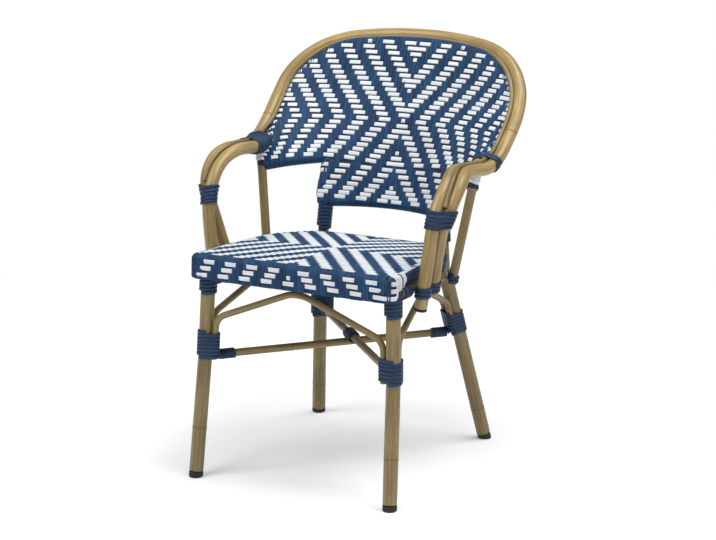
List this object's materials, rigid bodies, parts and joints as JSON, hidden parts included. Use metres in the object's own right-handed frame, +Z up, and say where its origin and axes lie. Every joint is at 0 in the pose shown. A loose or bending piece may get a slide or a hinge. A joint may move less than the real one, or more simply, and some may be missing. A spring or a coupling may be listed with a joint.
{
  "type": "rattan bistro chair",
  "caption": "Cafe armchair with a bamboo-look tube frame, a woven seat and wrap-round back, cord-bound joints, arched braces and crossed stretchers.",
  "frame": {"origin": "on the floor, under the middle of the chair's width and depth", "axes": "+Z up, the sitter faces -Y, +X is on the right as seen from the front"},
  "size_m": [0.5662, 0.6092, 0.823],
  "materials": {
    "bamboo_tube": "bamboo-look lacquer over bent aluminium tube, satin",
    "woven_strand": "flat plastic strands in blue and white, woven",
    "blue_cord": "flat plastic cord, satin",
    "end_cap": "moulded, matt"
  },
  "bodies": {
    "root": {"seat_ring": "bamboo_tube", "seat_rail": "bamboo_tube", "apron_rail": "bamboo_tube", "seat_cross_bar": "bamboo_tube", "front_leg_right": "bamboo_tube", "rear_leg_right": "bamboo_tube", "front_foot_cap_right": "end_cap", "rear_foot_cap_right": "end_cap", "arm_plug_right": "end_cap", "front_leg_left": "bamboo_tube", "rear_leg_left": "bamboo_tube", "front_foot_cap_left": "end_cap", "rear_foot_cap_left": "end_cap", "arm_plug_left": "end_cap", "back_hoop": "bamboo_tube", "outer_arm_right": "bamboo_tube", "inner_arm_right": "bamboo_tube", "outer_arm_left": "bamboo_tube", "inner_arm_left": "bamboo_tube", "trim_bead": "bamboo_tube", "back_arch": "bamboo_tube", "back_lower_rail": "bamboo_tube", "side_post_right": "bamboo_tube", "back_post_right": "bamboo_tube", "side_post_left": "bamboo_tube", "back_post_left": "bamboo_tube", "stretcher_under": "bamboo_tube", "stretcher_binding_front_left": "blue_cord", "stretcher_binding_rear_right": "blue_cord", "stretcher_over": "bamboo_tube", "stretcher_binding_front_right": "blue_cord", "stretcher_binding_rear_left": "blue_cord", "front_arch": "bamboo_tube", "rear_arch": "bamboo_tube", "side_arch_right": "bamboo_tube", "side_arch_left": "bamboo_tube", "seat_weave": "woven_strand", "back_weave": "woven_strand", "leg_binding_front_right": "blue_cord", "leg_binding_rear_right": "blue_cord", "leg_top_binding_right": "blue_cord", "arm_wrap_right": "blue_cord", "outer_arm_binding_right": "blue_cord", "inner_arm_binding_right": "blue_cord", "arm_strap_right": "blue_cord", "back_post_binding_right": "blue_cord", "side_post_binding_right": "blue_cord", "rail_binding_right": "blue_cord", "leg_binding_front_left": "blue_cord", "leg_binding_rear_left": "blue_cord", "leg_top_binding_left": "blue_cord", "arm_wrap_left": "blue_cord", "outer_arm_binding_left": "blue_cord", "inner_arm_binding_left": "blue_cord", "arm_strap_left": "blue_cord", "back_post_binding_left": "blue_cord", "side_post_binding_left": "blue_cord", "rail_binding_left": "blue_cord", "crossing_binding": "blue_cord"}
  },
  "joints": []
}
